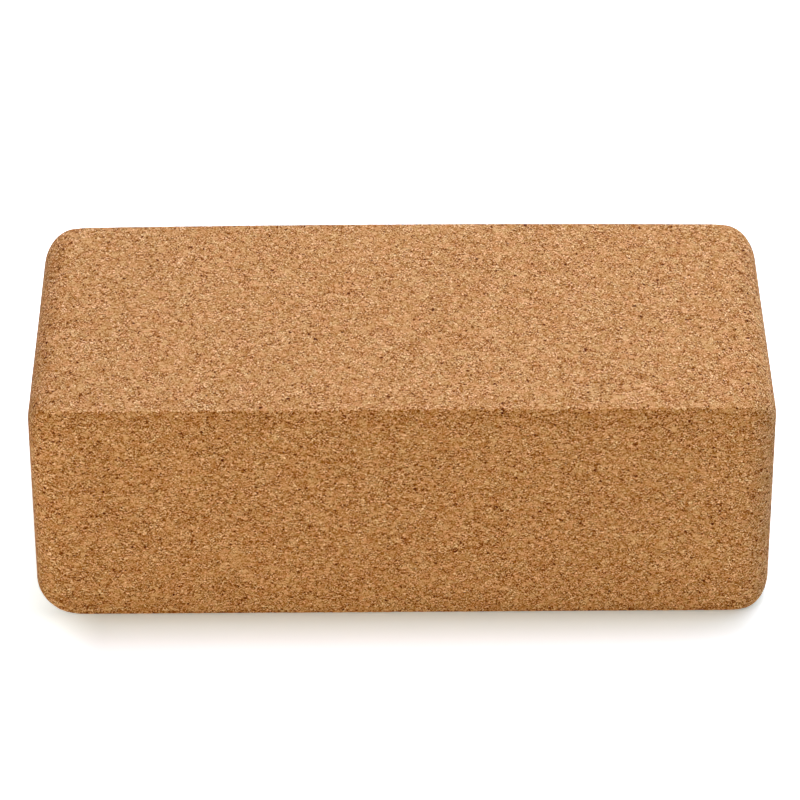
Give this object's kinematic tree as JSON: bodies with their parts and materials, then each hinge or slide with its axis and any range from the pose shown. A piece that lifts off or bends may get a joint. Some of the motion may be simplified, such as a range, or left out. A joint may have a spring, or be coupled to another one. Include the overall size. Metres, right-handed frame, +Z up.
{
  "type": "yoga block",
  "caption": "Slim brick-shaped cork yoga block with rounded ends, laid or stood on the floor to support a hand, foot or hip.",
  "frame": {"origin": "middle of the underside, where the block lies on the floor", "axes": "+X along the block's length, +Y from its front side to its back, +Z up from the broad face that it lies on"},
  "size_m": [0.225, 0.105, 0.075],
  "materials": {
    "cork": "bare sanded granules of bonded cork, matt"
  },
  "bodies": {
    "root": {"cork_block": "cork"}
  },
  "joints": []
}
